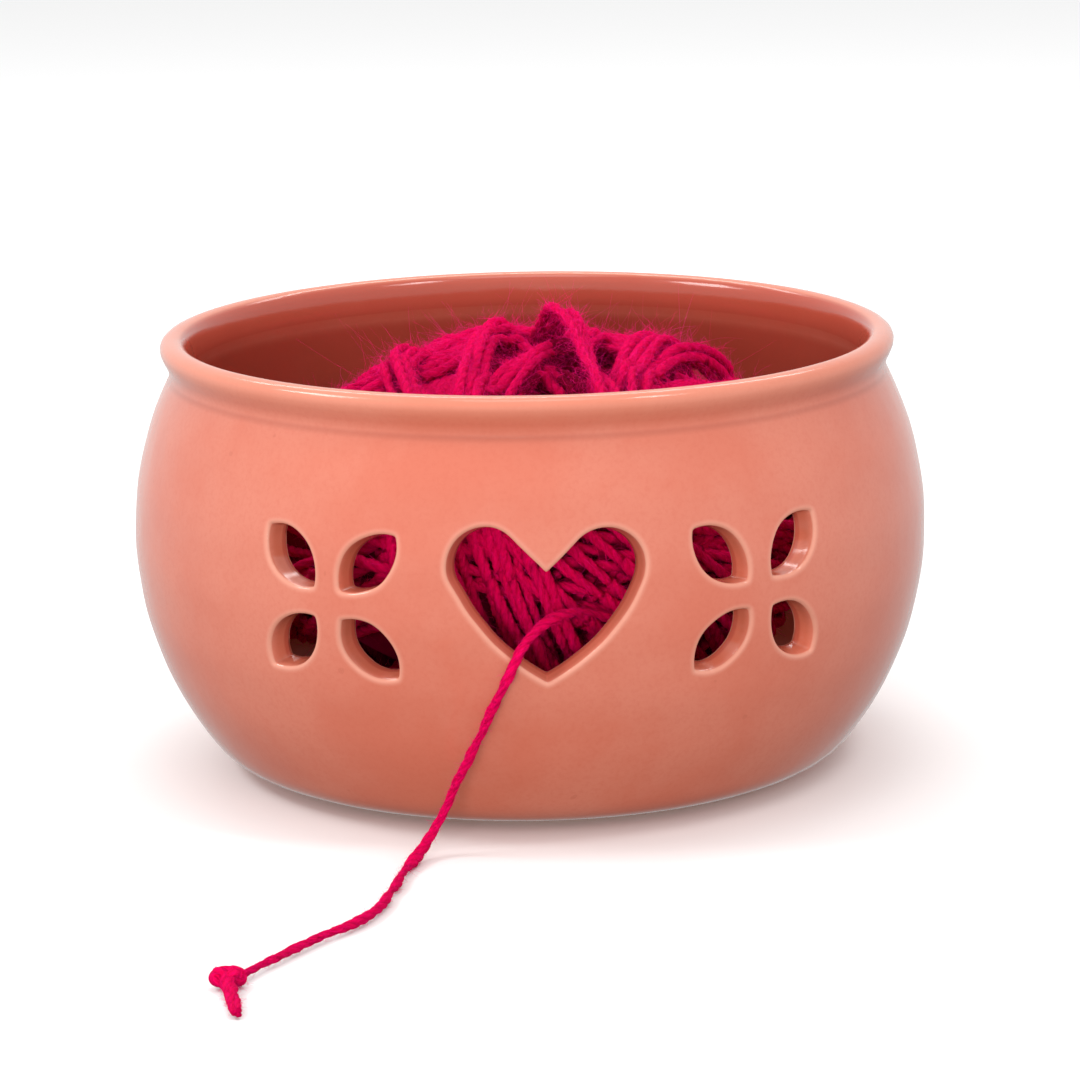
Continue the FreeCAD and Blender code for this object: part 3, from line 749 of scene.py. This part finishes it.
class Ball:
    """The ball as it is wound: how high the yarn lies over its core in every direction."""

    CORE_DEPTH = 6.5
    CELLS = 90000
    SOFT = 1.02  # a strand's radius as it beds into the yarn under it
    SPACING = 2.35
    TRIALS = 40
    STEP = 1.0
    SIDES = 12
    END_LENGTH, END_DEPTH = 9.0, 1.5  # over this length a loose strand's ends dive, to this depth

    def __init__(self):
        self.table = core_table(self.CORE_DEPTH)
        index = np.arange(self.CELLS) + 0.5
        rise = 1 - 2 * index / self.CELLS
        turn = index * math.pi * (3 - math.sqrt(5))
        level = np.sqrt(1 - rise**2)
        self.cells, _ = self.place(np.stack([level * np.cos(turn), level * np.sin(turn), rise], 1))
        self.tree = kdtree.KDTree(self.CELLS)
        for number, point in enumerate(self.cells):
            self.tree.insert(point, number)
        self.tree.balance()
        self.height = np.zeros(self.CELLS)
        self.strands = []

    def place(self, directions):
        """Points on the core's surface in those directions, and the surface's direction out there."""
        directions = unit(directions)
        level = np.hypot(directions[:, 0], directions[:, 1])
        lift = np.arctan2(directions[:, 2], level)
        reach = np.interp(lift, self.table[0], self.table[1])
        out_r, out_z = (np.interp(lift, self.table[0], self.table[2][:, k]) for k in (0, 1))
        flat = directions[:, :2] / np.maximum(level, 1e-6)[:, None]
        points = directions * reach[:, None] + (0, 0, BALL_MIDDLE)
        return points, unit(np.column_stack([flat * out_r[:, None], out_z]))

    def lay(self, directions, lift=0.0, closed=True, spare=0.0):
        """Lays one strand over what is there already, along directions from the ball's middle."""
        base, _ = self.place(directions)
        reach = along(base)
        count = int(reach[-1] / self.STEP)
        where = np.linspace(0, reach[-1], count)
        directions = np.stack([np.interp(where, reach, directions[:, k]) for k in range(3)], 1)
        lift = np.interp(where, reach, np.broadcast_to(lift, len(reach)))
        base, normal = self.place(directions)
        near = [self.tree.find_range(point, self.SOFT) for point in base]
        tops = [[self.height[cell] + self.crest(gap) for _, cell, gap in found] for found in near]
        under = np.array([max(found) for found in tops])
        under = np.maximum.reduce([np.roll(under, k) for k in (-2, -1, 0, 1, 2)])
        under = blur(under, 2.6, wrap=closed)
        wander = blur(chance.normal(size=count), 6, wrap=closed) * 0.7
        height = np.maximum(under + np.abs(wander), lift)
        if closed:
            height = np.minimum(height, self.room(directions, spare))
        else:
            ends = np.clip(np.minimum(where, reach[-1] - where) / self.END_LENGTH, 0, 1)
            height = height * ends**0.5 - self.END_DEPTH * (1 - ends)
        radius = STRAND_RADIUS * (1.03 + 0.34 * blur(chance.normal(size=count), 4))
        line = base + normal * height[:, None]
        strand = Strand(line, normal, np.clip(radius, 1.0, 1.6), self.SIDES, chance.uniform(0, 6))
        strand.height = height
        strand.cells = np.array([min(found, key=lambda cell: cell[2])[1] for found in near])
        self.strands.append(strand)
        for found, top in zip(near, height):
            for _, cell, gap in found:
                self.height[cell] = max(self.height[cell], top + self.crest(gap))

    def crest(self, gap):
        """How far a strand's top is over its middle, that far to its side."""
        return math.sqrt(self.SOFT**2 - gap**2)

    def sink(self):
        """Marks how deep each point of the yarn lies under the finished winding, and how far it faces down,
        for the shade painted in the material.
        """
        for strand in self.strands:
            over = np.maximum(self.height[strand.cells] - self.SOFT - strand.height, 0)
            strand.sunk = over[:, None] + STRAND_RADIUS * strand.underside

    def room(self, directions, spare):
        """How far over the core a strand's middle may lie: less underneath, where the ball rests."""
        rise = np.degrees(np.arcsin(unit(directions)[:, 2]))
        proud = np.interp(rise, (-50, -15, 20, 60), (CORE_FOOT_DROP - 0.4, 0.8, 1.0, 1.5))
        spare = spare * np.interp(rise, (-45, -15, 22, 48), (0, 1, 1, 0))
        return self.CORE_DEPTH - STRAND_RADIUS + proud + spare

    def low_course(self):
        """A point's bearing, rise and slope on the great circle, of a few, over the thinnest winding."""
        best = None
        turn = np.linspace(0, math.tau, 60, endpoint=False)
        for _ in range(self.TRIALS):
            bearing, rise = chance.uniform(-180, 180), math.degrees(math.asin(chance.uniform(-0.9, 0.9)))
            course = bearing, rise, chance.uniform(-90, 90)
            heights = []
            for tilt in (-0.14, 0, 0.14):
                ring = self.ring(self.circle(*course), turn, np.full(len(turn), tilt))
                heights += [self.height[self.tree.find(point)[1]] for point in self.place(ring)[0]]
            score = np.mean(heights) + 0.5 * np.std(heights) - 1.0 * (np.array(heights) < 0.5).mean()
            if best is None or score < best[0]:
                best = score, course
        return best[1]

    @staticmethod
    def circle(bearing, rise, slope):
        """A great circle's point at a bearing and elevation, its direction there, and its axis."""
        b, e, a = map(math.radians, (bearing, rise, slope))
        through = np.array([math.sin(b) * math.cos(e), -math.cos(b) * math.cos(e), math.sin(e)])
        east = np.array([math.cos(b), math.sin(b), 0])
        north = np.cross(through, east)
        if north[2] < 0:
            north = -north
        way = east * math.cos(a) + north * math.sin(a)
        return through, way, np.cross(through, way)

    @staticmethod
    def ring(circle, turn, tilt):
        """Directions at each turn round a great circle, tilted towards its axis."""
        through, way, axis = circle
        level = np.cos(turn)[:, None] * through + np.sin(turn)[:, None] * way
        return level * np.cos(tilt)[:, None] + axis * np.sin(tilt)[:, None]

    def band(self, bearing, rise, slope, count, tight=1.0, fan=0.0, spare=0.0):
        """Winds count strands side by side right round the ball, through a point at a bearing and rise."""
        circle = self.circle(bearing, rise, slope)
        turn = np.linspace(0, math.tau, 361)
        for number in range(count):
            offset = (number - (count - 1) / 2) * self.SPACING * tight / BALL_RADIUS
            sway = fan * offset * np.cos(turn)
            for size, waves in ((0.016, (1, 4)), (0.007, (4, 9))):
                sway = sway + size * np.sin(turn * chance.integers(*waves) + chance.uniform(0, 6))
            self.lay(self.ring(circle, turn, sway + offset), spare=spare)

    def bundle(self, route, count, gather=1.0):
        """Lays count strands side by side over the top, along (x, y, z) points, no lower than those."""
        route = np.array(route, float)
        steps = along(route[:, :2])
        fine = np.linspace(0, steps[-1], 80)
        smooth = blur(np.stack([np.interp(fine, steps, route[:, k]) for k in range(3)], 1), 5)
        way = unit(np.gradient(smooth[:, :2], axis=0))
        side = np.stack([-way[:, 1], way[:, 0]], 1)
        for number in range(count):
            offset = (number - (count - 1) / 2) * self.SPACING * gather
            waver = blur(chance.normal(size=80), 9) * 2.0
            flat = smooth[:, :2] + side * (offset + waver)[:, None]
            wanted = np.column_stack([flat, smooth[:, 2] - chance.uniform(0, 1.2)])
            way_out = wanted - (0, 0, BALL_MIDDLE)
            for _ in range(4):
                base, normal = self.place(way_out)
                height = ((wanted - base) * normal).sum(1)
                way_out = wanted - normal * height[:, None] - (0, 0, BALL_MIDDLE)
            self.lay(way_out, height, closed=False)


# Loose strands over the ball's top: (x, y, z) points of each bundle's middle, strands, how closely they lie.
TOP_BUNDLES = [
    ([(-43, 14, 60), (-24, 30, 79), (0, 38, 82), (26, 32, 80), (48, 14, 62)], 6, 1.1),
    ([(34, 46, 56), (27, 30, 82), (15, 14, 86), (2, 4, 86), (-12, -2, 82)], 5, 1.1),
    ([(-20, 52, 56), (-22, 34, 82), (-18, 16, 88), (-6, 2, 88), (8, -8, 82)], 5, 1.1),
    ([(-32, 26, 70), (-6, 16, 90), (12, 12, 93.5), (26, 10, 93), (46, 8, 78)], 5, 1.0),
    ([(-45, -14, 58), (-35, -12, 81), (-29, -4, 87), (-20, 4, 91.5), (-4, 14, 90), (14, 22, 78)], 5, 1.05),
    ([(-20, -48, 56), (-23, -32, 83), (-27, -16, 89), (-29, -2, 89), (-20, 14, 82)], 4, 1.0),
    ([(-6, -46, 60), (-6, -30, 84), (-3, -18, 90), (3, -10, 92), (9, -14, 88), (12, -26, 80)], 3, 1.0),
    ([(18, -44, 70), (24, -36, 84), (36, -29, 86.5), (46, -18, 84), (54, -6, 68)], 3, 1.0),
    ([(18, -47, 56), (23, -35, 85), (35, -22, 89.5), (45, -12, 87), (52, -2, 70)], 3, 1.0),
    ([(20, -48, 56), (21, -33, 87), (27, -18, 92.5), (35, -6, 93.5), (43, 2, 89), (50, 10, 72)], 3, 1.0),
    ([(17, -48, 56), (18.5, -33, 87), (23, -18, 94), (28, -2, 97.5), (33, 8, 94), (38, 18, 78)], 3, 0.95),
    ([(-14, -47, 56), (-9, -33, 85), (-4, -20, 91.5), (2, -8, 94.5), (12, 6, 92), (22, 16, 82)], 3, 1.0),
    ([(-12, -48, 58), (-12, -32, 88), (-11.5, -14, 95), (-8.5, 2, 98), (4, 14, 88)], 3, 0.95),
    (
        [(16, -48, 56), (14.5, -34, 87), (12, -20, 95), (9.5, -8, 101.5), (7.2, -1, 103.5), (5.5, 4, 99.5)]
        + [(3.5, 9, 91), (1, 17, 80)],
        3,
        0.88,
    ),
]
# Bands round the whole ball: bearing, rise and slope where they cross the front, strands, tightness, fan.
BANDS = [
    (-30, 2, 28, 7, 1.1, 0.2),
    (34, 2, -12, 7, 1.1, 0.2),
    (-13, 2, -68, 8, 1.15, 0.3),
    (16, 3, -37, 8, 1.2, 0.25),
    (-8, 2, -60, 5, 1.45, 0.3),
    (0, 4, -64, 3, 1.3, 0.1),
]
PROUD = 3.0  # how much further out the first band may lie than the ones below it; the last, nearly twice
UNDER_BANDS, UNDER_STRANDS = 6, 9
STRANDS_A_PIECE = 22
SIDE_STRANDS = 70  # how many of the last strands round the ball carry hairs
# Short fuzz and then longer, finer fibres, over the top and the sides in turn: width and longest.
FUZZ = [(0.07, 3.2)] * 4 + [(0.04, 5.0)] * 3
CORE_ROWS, CORE_COLUMNS = 61, 96


def ball_core(ball, material):
    """The ball's inside, in the yarn's darkest painted shade; it shows only as darkness between the strands.
    """
    turns = np.radians(np.arange(CORE_COLUMNS) * 360 / CORE_COLUMNS)
    points = []
    for rise in np.radians(np.linspace(-90, 90, CORE_ROWS)[1:-1]):
        level = np.cos(rise)
        ring = [level * np.cos(turns), level * np.sin(turns), np.full(CORE_COLUMNS, math.sin(rise))]
        points.append(ball.place(np.stack(ring, 1))[0])
    grid = np.arange(CORE_COLUMNS * len(points)).reshape(len(points), CORE_COLUMNS)
    points.append(ball.place(np.array([[0, 0, -1.0], [0, 0, 1.0]]))[0])
    fans = np.concatenate([fan(grid.size, grid[0]), fan(grid.size + 1, grid[-1], flip=True)])
    core = mesh_object("ball_core", np.vstack(points), [bridge(grid[:-1], grid[1:]), fans], material)
    # The core takes the darkest painted shade.
    point_value(core, "groove", np.ones(len(core.data.vertices)))
    point_value(core, "sunk", np.full(len(core.data.vertices), SUNK_DARK))
    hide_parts("yarn_ball")
    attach(core, "ball")


def wind_ball(material, fluff):
    """The ball: a dark core, bands wound right round it, and loose bundles over the top."""
    ball = Ball()
    ball_core(ball, material)
    for _ in range(UNDER_BANDS):
        ball.band(*ball.low_course(), UNDER_STRANDS, 1.0, chance.uniform(0, 0.25))
    for number, band in enumerate(BANDS):
        ball.band(*band, spare=PROUD * (1 + number / len(BANDS)))
    for route, count, gather in TOP_BUNDLES:
        ball.bundle(route, count, gather)
    ball.sink()
    for number in range(0, len(ball.strands), STRANDS_A_PIECE):
        group = ball.strands[number : number + STRANDS_A_PIECE]
        yarn_object(f"ball_windings_{number // STRANDS_A_PIECE + 1:02d}", group, material, "ball")
    loose = sum(count for _, count, _ in TOP_BUNDLES)
    top, sides = ball.strands[-loose:], ball.strands[-loose - SIDE_STRANDS : -loose]
    hairs("ball_hairs_top", top, 5200, (2.0, 9.0), fluff, "ball", width=0.034, lie=0.5)
    hairs("ball_hairs_side", sides, 3500, (2.0, 6.0), fluff, "ball", width=0.036, lie=0.6)
    for number, (width, longest) in enumerate(FUZZ):
        name, strands = f"ball_fuzz_{number + 1}", (top, sides)[number % 2]
        hairs(name, strands, 9500, (1.2, longest), fluff, "ball", width=width, lie=2.2, rows=4)


# ---------------------------------------------------------------- the free strand, its knot and its tail


def spline_line(name, route, step):
    """Evenly spaced points, in millimetres, along the smooth NURBS line that a route in metres controls."""
    curve = bpy.data.curves.new(name, "CURVE")
    curve.dimensions = "3D"
    curve.resolution_u = 24
    spline = curve.splines.new("NURBS")
    spline.points.add(len(route) - 1)
    for point, place in zip(spline.points, route):
        point.co = (*place, 1)
    spline.order_u = 3
    spline.use_endpoint_u = True
    holder = bpy.data.objects.new(name, curve)
    bpy.context.scene.collection.objects.link(holder)
    bpy.context.view_layer.update()
    mesh = bpy.data.meshes.new_from_object(holder)
    points = np.array([tuple(v.co) for v in mesh.vertices]) / MM
    bpy.data.objects.remove(holder)
    bpy.data.meshes.remove(mesh)
    return resample(points, step)


def carried(line, first):
    """A sideways direction carried along a line without twisting about it."""
    tangent = unit(np.gradient(line, axis=0))
    normal, found = np.array(first, float), []
    for way in tangent:
        normal = unit(normal - (normal @ way) * way)
        found.append(normal)
    return np.array(found)


def free_strand():
    """The strand from the ball to its knot, thinner towards the knot: its smooth line and its yarn."""
    line = spline_line("route", ROUTE, 0.45)
    reach = along(line)
    slender = np.interp(reach, (0, 95, 118, 150, 175), (0.92, 0.92, 0.86, 0.72, 0.66))
    uneven = slender * (1 + 0.50 * blur(chance.normal(size=len(line)), 4))
    waver = blur(chance.normal(size=(len(line), 3)), 6) * 0.7 * np.clip(reach / 12, 0, 1)[:, None]
    waver[:, 2] *= 0.2
    radius = STRAND_RADIUS * np.clip(uneven, 0.52, 1.2)
    return line, Strand(line + waver, carried(line, UP), radius, ROUND_SIDES, lowest=0.03)


def knot_strands():
    """An overhand knot as a trefoil loop, and the turn of yarn that crosses it."""
    turn = np.linspace(0, math.tau, 150, endpoint=False)
    level = [np.sin(turn) + 2 * np.sin(2 * turn), np.cos(turn) - 2 * np.cos(2 * turn)]
    loop = np.array(KNOT_CENTRE) + np.stack([*level, -np.sin(3 * turn)], 1) / (3, 3, 1) * KNOT_LOOP
    loop = np.vstack([loop, loop[:1]])
    wrap = blur(resample(np.array(KNOT_CENTRE) + np.array(KNOT_WRAP), 0.25), 2.5)
    return [
        Strand(line, carried(line, UP), np.full(len(line), radius), ROUND_SIDES, lowest=0.02)
        for line, radius in ((loop, 1.12), (wrap, 1.1))
    ]


def tail_plies():
    """The tail past the knot, where the plies come apart towards their frayed ends."""
    middle = spline_line("tail", TAIL, 0.4)
    sideways = carried(middle, UP)
    across = np.cross(unit(np.gradient(middle, axis=0)), sideways)
    share = np.linspace(0, 1, len(middle))
    apart = 0.80 - 0.25 * np.sin(share * math.pi / 2) + 0.10 * share**3
    plies = []
    for ply in range(PLIES):
        angle = ply * math.tau / PLIES + along(middle) / PLY_PITCH * math.tau * (1 - 0.45 * share)
        offset = sideways * np.cos(angle)[:, None] * 0.75 + across * np.sin(angle)[:, None]
        line = middle + offset * apart[:, None]
        line[:, 2] = np.maximum(line[:, 2], 0.62)
        plies.append(Strand(line, sideways, 0.95 - 0.30 * share**4, 12, ply, lowest=0.03))
    return plies


def make_strand(material, fluff):
    """The free strand, its knot, its tail, and their loose fibres."""
    line, strand = free_strand()
    free = yarn_object("working_yarn", [strand], material)
    knotted = knot_strands()
    knot = yarn_object("yarn_knot", knotted, material, "bowl")
    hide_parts("end_knot")
    plies = tail_plies()
    tail = yarn_object("frayed_tail", plies, material, "bowl")
    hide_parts("strand_tail")
    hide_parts("strand_lead", "working_strand")
    fuzz = hairs("strand_fuzz", [strand], 2600, (0.4, 1.5), fluff, width=0.035, lie=1.8, rows=4)
    fuzzy = [knotted[0], *plies]
    end_fuzz = hairs("knot_fuzz", fuzzy, 1500, (0.4, 1.8), fluff, "bowl", width=0.035, lie=1.6, rows=4)
    for piece in (free, fuzz):
        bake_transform(piece)


# ---------------------------------------------------------------- materials


def linear(*screen):
    """A screen colour, 0 to 255, as linear light."""
    shares = (value / 255 for value in screen)
    return *(v / 12.92 if v <= 0.04045 else ((v + 0.055) / 1.055) ** 2.4 for v in shares), 1.0


class Graph:
    """The nodes of a material or a world, with short ways to add and join them."""

    def __init__(self, owner, shader="Principled BSDF"):
        owner.use_nodes = True
        self.owner = owner
        self.tree = owner.node_tree
        self.shader = self.tree.nodes[shader]

    def feed(self, socket, value):
        """Joins an output to a socket, or gives the socket a plain value."""
        if isinstance(value, bpy.types.NodeSocket):
            self.tree.links.new(value, socket)
        else:
            socket.default_value = value

    def set(self, node, **inputs):
        for name, value in inputs.items():
            self.feed(node.inputs[name.replace("_", " ")], value)

    def node(self, kind, **inputs):
        node = self.tree.nodes.new("ShaderNode" + kind)
        self.set(node, **inputs)
        return node

    def noise(self, vector, scale, detail, roughness):
        node = self.node("TexNoise", Vector=vector, Scale=scale, Detail=detail, Roughness=roughness)
        return node.outputs["Fac"]

    def stretch(self, vector, scale):
        node = self.node("VectorMath", Vector=vector)
        node.operation = "MULTIPLY"
        node.inputs[1].default_value = scale
        return node.outputs["Vector"]

    def value(self, name, output="Fac"):
        """What a mesh's points say."""
        node = self.node("Attribute")
        node.attribute_name = name
        return node.outputs[output]

    def ramp(self, value, low, high, first=0.0, last=1.0, kind="SMOOTHSTEP"):
        """A step from first at low to last at high."""
        node = self.node("MapRange", Value=value, From_Min=low, From_Max=high, To_Min=first, To_Max=last)
        node.interpolation_type = kind
        return node.outputs["Result"]

    def maths(self, kind, first, second):
        node = self.node("Math")
        node.operation = kind
        self.feed(node.inputs[0], first)
        self.feed(node.inputs[1], second)
        return node.outputs["Value"]

    def times(self, first, second):
        return self.maths("MULTIPLY", first, second)

    def mix(self, share, first, second):
        """One colour over another."""
        return self.node("MixRGB", Fac=share, Color1=first, Color2=second).outputs["Color"]

    def bump(self, height, strength, distance):
        return self.node("Bump", Height=height, Strength=strength, Distance=distance)


def glaze_material():
    """Glossy coral glaze: mottled, speckled, pale over edges, with painted shade in the crease under the rim,
    on the cut faces and over the inside.
    """
    graph = Graph(bpy.data.materials.new("coral_glaze"))
    place = graph.node("TexCoord").outputs["Object"]
    height = graph.node("SeparateXYZ", Vector=place).outputs["Z"]
    within, edge, cut = (graph.value(name) for name in ("inside", "edge_distance", "cut_face"))
    cloud = graph.noise(place, 26, 4, 0.6)
    grain = graph.noise(place, 900, 3, 0.7)
    spots = graph.noise(place, 260, 1, 0.4)
    # Painted shade in the crease under the rolled rim, on the outside only.
    crease = graph.times(graph.ramp(height, 0.0880, 0.0893), graph.ramp(height, 0.0903, 0.0893))
    rim = graph.ramp(height, 0.0915, 0.0965, 0.0, 0.30)
    thin = graph.ramp(edge, 0.0, 1.6, 0.42, 0.0)
    # Painted shade on the cut faces, darkest midway between their edges.
    deep = graph.times(cut, graph.ramp(edge, 0.3, 1.6))
    bare = graph.ramp(height, 0.0016, 0.0008)
    colour = linear(203, 109, 86)
    for share, over in (
        (graph.ramp(cloud, 0.35, 0.68), (207, 120, 98)),
        (graph.ramp(grain, 0.40, 0.75, 0, 0.25), (194, 95, 73)),
        (graph.ramp(spots, 0.79, 0.81, 0, 0.15), (156, 71, 51)),
        # Painted shade: the inner face darker, where the walls and the ball keep light out.
        (graph.ramp(within, 0.1, 0.5, 0, 0.8), (170, 68, 51)),
        (graph.times(crease, graph.ramp(within, 0.05, 0.35, 0.32, 0.0)), (154, 71, 53)),
        (graph.times(rim, graph.ramp(within, 0.2, 0.8, 1.0, 0.0)), (225, 154, 126)),
        (graph.times(thin, graph.ramp(cut, 0.0, 0.5, 1.0, 0.10)), (229, 174, 151)),
        (graph.times(deep, 0.5), (188, 95, 68)),
        (bare, (161, 110, 84)),
    ):
        colour = graph.mix(share, colour, linear(*over))
    wave = graph.bump(graph.noise(place, 60, 2, 0.5), 0.22, 0.0012)
    rough = graph.bump(grain, 0.05, 0.0003)
    graph.set(rough, Normal=wave.outputs["Normal"])
    gloss = graph.maths("ADD", graph.ramp(grain, 0.3, 0.8, 0.12, 0.20), graph.times(bare, 0.4))
    graph.set(graph.shader, Base_Color=colour, Normal=rough.outputs["Normal"], Roughness=gloss)
    return graph.owner


WOOL = {
    "Roughness": 0.92,
    "Specular_IOR_Level": 0.08,
    "Sheen_Weight": 0.30,
    "Sheen_Roughness": 0.5,
    "Sheen_Tint": linear(255, 0, 120),
}


def yarn_material():
    """Soft hot-pink wool: fibres along the plies, painted shade between the plies, under other strands and on
    strands' undersides, uneven in dye.
    """
    graph = Graph(bpy.data.materials.new("pink_wool"))
    lay = graph.value("lay", "Vector")
    fibres = graph.noise(graph.stretch(lay, (4.0, 4.0, 0.45)), 1.0, 3, 0.65)
    fine = graph.noise(graph.stretch(lay, (13.0, 13.0, 0.9)), 1.0, 2, 0.6)
    patches = graph.noise(graph.node("TexCoord").outputs["Object"], 150, 2, 0.5)
    colour = linear(244, 0, 70)
    for share, over in (
        (graph.ramp(fibres, 0.36, 0.64), (255, 0, 102)),
        (graph.ramp(fine, 0.48, 0.70, 0, 0.75), (255, 4, 118)),
        (graph.ramp(fine, 0.44, 0.30, 0, 0.65), (206, 0, 52)),
        (graph.ramp(patches, 0.3, 0.7, 0, 0.3), (255, 0, 86)),
        (graph.ramp(graph.value("shade"), -1.6, 1.6, 0.35, 0.0), (240, 0, 84)),
        # Painted shade: darker in the grooves between plies, under other strands and on strands' undersides.
        (graph.ramp(graph.value("groove"), 0.35, 1.0, 0.0, 0.35), (176, 0, 44)),
        (graph.ramp(graph.value("sunk"), 0.7, SUNK_DARK, 0.0, 0.86), (104, 0, 24)),
    ):
        colour = graph.mix(share, colour, linear(*over))
    coarse = graph.bump(fibres, 1.0, 0.0005)
    rough = graph.bump(fine, 0.8, 0.0004)
    graph.set(rough, Normal=coarse.outputs["Normal"])
    graph.set(graph.shader, Base_Color=colour, Normal=rough.outputs["Normal"], **WOOL)
    return graph.owner


def fluff_material():
    """The same wool in single loose fibres, painted paler to stand in for the light that passes through them.
    """
    graph = Graph(bpy.data.materials.new("pink_wool_fibres"))
    share = graph.ramp(graph.value("shade"), -1.0, 2.0)
    graph.set(graph.shader, Base_Color=graph.mix(share, linear(255, 0, 100), linear(255, 30, 140)), **WOOL)
    return graph.owner


# ---------------------------------------------------------------- studio


def window_light(name, bearing, rise, size, radiance, distance=1.2):
    """A soft light aimed at the bowl; bearing counts from straight in front of the bowl, towards +X."""
    data = bpy.data.lights.new(name, "AREA")
    data.shape = "RECTANGLE"
    data.size, data.size_y = size
    data.energy = radiance * math.pi * size[0] * size[1]
    light = bpy.data.objects.new(name, data)
    bpy.context.scene.collection.objects.link(light)
    b, e = math.radians(bearing), math.radians(rise)
    way = Vector((math.sin(b) * math.cos(e), -math.cos(b) * math.cos(e), math.sin(e)))
    light.location = Vector((0, 0, 0.08)) + way * distance
    light.rotation_euler = way.to_track_quat("Z", "Y").to_euler()
    light.visible_camera = False
    return light


def studio_world():
    """Soft white light all round, a little stronger from the left and dimmer from above and from below."""
    graph = Graph(bpy.data.worlds.new("studio"), "Background")
    sky = graph.node("SeparateXYZ", Vector=graph.node("TexCoord").outputs["Generated"])

    def ramp(axis, *numbers):
        return graph.ramp(sky.outputs[axis], *numbers, kind="LINEAR")

    sides = graph.times(ramp("X", -0.8, 0.8, 1.13, 1.06), ramp("Z", 0.1, 0.9, 0.94, 0.80))
    ahead = graph.times(ramp("Z", -1.0, 0.0, 1.0, 0.0), ramp("Y", -0.1, 0.5, 1.0, 0.0))
    behind = graph.times(ramp("Z", -0.80, -0.12, 0.85, 0.08), ramp("Y", -0.1, 0.5, 0.0, 1.0))
    kept = graph.ramp(graph.maths("ADD", ahead, behind), 0.0, 1.0, 1.0, 0.0, kind="LINEAR")
    graph.set(graph.shader, Strength=graph.times(sides, kept), Color=(1, 1, 1, 1))
    return graph.owner


def floor_and_light():
    """A plain pale floor that takes only a soft shadow, and soft studio light."""
    scene = bpy.context.scene
    scene.view_settings.view_transform = "Standard"
    scene.world = studio_world()

    window_light("window_left", -82, 45, (0.38, 0.30), 12)
    window_light("window_right", 57, 58, (0.18, 0.28), 14)
    window_light("back_strip", 180, 48, (1.3, 0.12), 7)
    window_light("overhead", 0, 88, (0.5, 0.5), 2.2)
    key = window_light("front_key", -10, 6, (0.6, 0.5), 12.5, 1.6)
    key.visible_glossy = False

    bpy.ops.mesh.primitive_plane_add(size=30, location=(0, 0, -0.0002))
    floor = bpy.context.object
    floor.name = "floor"
    ground = Graph(bpy.data.materials.new("floor"))
    ground.set(ground.shader, Base_Color=(0.95, 0.95, 0.95, 1), Roughness=0.9, Specular_IOR_Level=0.0)
    floor.data.materials.append(ground.owner)
    floor.visible_diffuse = False
    floor.visible_glossy = False


make_camera()
yarn = yarn_material()
fluff = fluff_material()
make_strand(yarn, fluff)
wind_ball(yarn, fluff)
bowl = bowl_mesh(glaze_material())
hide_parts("bowl")
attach(bowl, "bowl")
floor_and_light()
